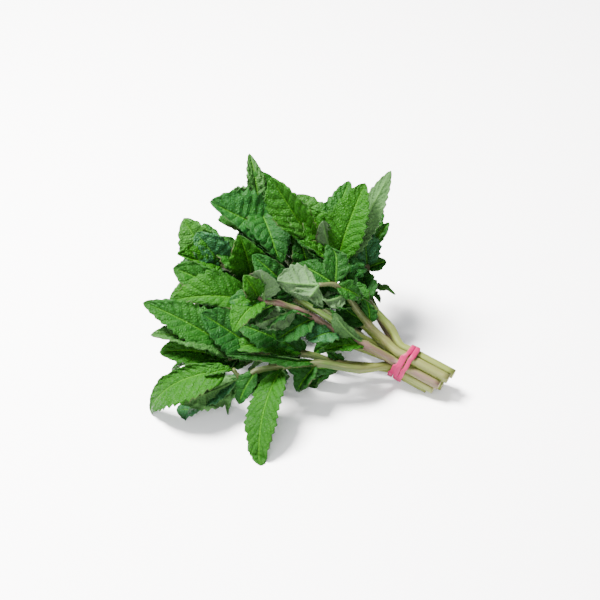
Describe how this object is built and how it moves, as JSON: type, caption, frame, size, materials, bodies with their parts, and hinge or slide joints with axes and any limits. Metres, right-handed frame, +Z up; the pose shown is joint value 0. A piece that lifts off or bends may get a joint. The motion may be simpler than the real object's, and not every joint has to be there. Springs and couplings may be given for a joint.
{
  "type": "tied bunch of mint sprigs",
  "caption": "Fresh mint lying on its side: leafy stems with toothed oval leaves fan out from a wound rubber band near their cut ends.",
  "frame": {"origin": "middle of the bunch's footprint, on the table that it lies on", "axes": "+Z up from the table, +X towards the cut ends of the stems, so that the leaves fan out towards -X; +Y towards the leaves that stand at the back"},
  "size_m": [0.1736, 0.1666, 0.0998],
  "materials": {
    "sprig_front_low": "fresh mint leaf, satin above and matt grey-green below",
    "sprig_low_left": "fresh mint leaf, satin above and matt grey-green below",
    "sprig_left": "fresh mint leaf, satin above and matt grey-green below",
    "sprig_upper_left": "fresh mint leaf, satin above and matt grey-green below",
    "sprig_top": "fresh mint leaf, satin above and matt grey-green below",
    "sprig_upper_right": "fresh mint leaf, satin above and matt grey-green below",
    "sprig_right_back": "fresh mint leaf, satin above and matt grey-green below",
    "sprig_front_middle": "fresh mint leaf, satin above and matt grey-green below",
    "sprig_drooping": "limp mint leaf, matt grey-green underside showing",
    "sprig_back_low": "fresh mint leaf, satin above and matt grey-green below",
    "rubber_band": "pink elastic, satin"
  },
  "bodies": {
    "root": {"sprig_front_low": "sprig_front_low", "sprig_low_left": "sprig_low_left", "sprig_left": "sprig_left", "sprig_upper_left": "sprig_upper_left", "sprig_top": "sprig_top", "sprig_upper_right": "sprig_upper_right", "sprig_right_back": "sprig_right_back", "sprig_front_middle": "sprig_front_middle", "sprig_drooping": "sprig_drooping", "sprig_back_low": "sprig_back_low", "rubber_band": "rubber_band"}
  },
  "joints": []
}
